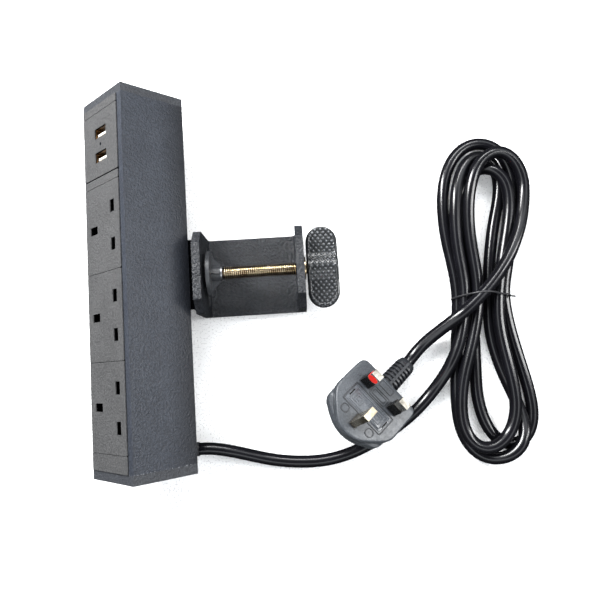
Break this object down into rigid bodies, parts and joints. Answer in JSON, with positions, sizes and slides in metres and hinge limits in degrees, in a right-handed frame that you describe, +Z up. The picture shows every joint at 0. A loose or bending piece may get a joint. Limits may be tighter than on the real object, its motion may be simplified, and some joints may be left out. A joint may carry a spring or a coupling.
{
  "type": "desk power strip",
  "caption": "Clamp-on desk power strip: square bar on its edge with outlets and USB ports, a screw clamp, a mains lead tied in a hank and a three-pin plug.",
  "frame": {"origin": "on the surface the part lies on, under the middle of the strip and clamp", "axes": "+Y along the strip towards the USB end, +X from the strip towards the clamp knob, +Z up"},
  "size_m": [0.2774, 0.2326, 0.0619],
  "materials": {
    "anodised_shell": "satin black anodised",
    "cap_plastic": "fine satin black",
    "module_plastic": "fine spark-eroded black",
    "inner_plastic": "moulded",
    "port_metal": "bright, warm in tone",
    "tongue_plastic": "white moulding with plated contacts",
    "board": "solder mask",
    "transformer": "wrapped winding",
    "indicator": "smoked light pipe",
    "shutter_plastic": "moulded black",
    "steel": "zinc plated",
    "contact_brass": "stamped",
    "wire": "insulated",
    "boot_rubber": "soft black",
    "clamp_coat": "fine textured black powder coat",
    "screw_brass": "bright yellow brass",
    "knob_plastic": "diamond textured, semi-gloss black",
    "pad_plastic": "moulded black",
    "cord_sheath": "round PVC sheath",
    "tie_plastic": "black coated wire",
    "plug_plastic": "moulded, satin",
    "plug_boot_plastic": "ribbed moulding",
    "pin_plating": "bright tips",
    "pin_brass": "bright",
    "sleeve_plastic": "moulded sleeve",
    "carrier_plastic": "smooth moulding",
    "fuse_body": "ceramic with plated caps"
  },
  "bodies": {
    "strip": {"extrusion_shell": "anodised_shell", "top_end_cap": "cap_plastic", "bottom_end_cap": "cap_plastic", "end_cap_screws": "steel", "top_spacer": "module_plastic", "middle_spacer": "module_plastic", "bottom_spacer": "module_plastic", "usb_faceplate": "module_plastic", "usb_housing": "inner_plastic", "usb_port_shell_1": "port_metal", "usb_port_shell_2": "port_metal", "usb_tongue_1": "tongue_plastic", "usb_tongue_2": "tongue_plastic", "usb_circuit_board": "board", "usb_transformer": "transformer", "usb_indicator": "indicator", "outlet_faceplate_1": "module_plastic", "outlet_faceplate_2": "module_plastic", "outlet_faceplate_3": "module_plastic", "outlet_base_1": "inner_plastic", "outlet_base_2": "inner_plastic", "outlet_base_3": "inner_plastic", "shutter_spring_1": "steel", "shutter_spring_2": "steel", "shutter_spring_3": "steel", "live_busbar": "contact_brass", "neutral_busbar": "contact_brass", "earth_busbar": "contact_brass", "internal_wires": "wire", "terminal_block": "inner_plastic", "cord_boot": "boot_rubber", "boot_nut": "inner_plastic", "wedge_bracket": "clamp_coat", "wedge_screws": "steel", "wedge_nut_plate": "steel", "clamp_frame": "clamp_coat", "frame_screws": "steel", "thread_bush": "screw_brass", "power_lead": "cord_sheath", "power_lead_hank": "cord_sheath", "power_lead_tail": "cord_sheath", "cord_tie": "tie_plastic", "plug_body": "plug_plastic", "plug_cord_boot": "plug_boot_plastic", "plug_live_pin": "pin_plating", "plug_neutral_pin": "pin_plating", "plug_earth_pin": "pin_brass", "plug_pin_sleeves": "sleeve_plastic"},
    "pad": {"clamp_pad": "pad_plastic", "pad_clip": "steel"},
    "screw": {"clamp_screw": "screw_brass", "clamp_knob": "knob_plastic"},
    "fuse_holder": {"fuse_carrier": "carrier_plastic", "fuse": "fuse_body"},
    "shutter_a": {"shutter_1": "shutter_plastic"},
    "shutter_b": {"shutter_2": "shutter_plastic"},
    "shutter_c": {"shutter_3": "shutter_plastic"}
  },
  "joints": [
    {"name": "pad_slide", "type": "slide", "parent": "strip", "child": "pad", "axis": [1, 0, 0], "range_m": [0, 0.04]},
    {"name": "screw_turn", "type": "hinge", "parent": "pad", "child": "screw", "pos_m": [0, 0.004, 0.027], "axis": [1, 0, 0], "range_deg": [0, 11520]},
    {"name": "shutter_a_slide", "type": "slide", "parent": "strip", "child": "shutter_a", "axis": [0.7071, 0, 0.7071], "range_m": [0, 0.006], "stiffness_N_per_m": 150, "springref_m": -0.003, "deforming": ["shutter_spring_1"]},
    {"name": "shutter_b_slide", "type": "slide", "parent": "strip", "child": "shutter_b", "axis": [0.7071, 0, 0.7071], "range_m": [0, 0.006], "stiffness_N_per_m": 150, "springref_m": -0.003, "deforming": ["shutter_spring_2"]},
    {"name": "shutter_c_slide", "type": "slide", "parent": "strip", "child": "shutter_c", "axis": [0.7071, 0, 0.7071], "range_m": [0, 0.006], "stiffness_N_per_m": 150, "springref_m": -0.003, "deforming": ["shutter_spring_3"]},
    {"name": "fuse_carrier_slide", "type": "slide", "parent": "strip", "child": "fuse_holder", "axis": [0.287, 0.2408, 0.9272], "range_m": [0, 0.0135]}
  ],
  "couplings": [
    {"joint": "screw_turn", "follows": "pad_slide", "rad_per_m": 5026.5}
  ]
}
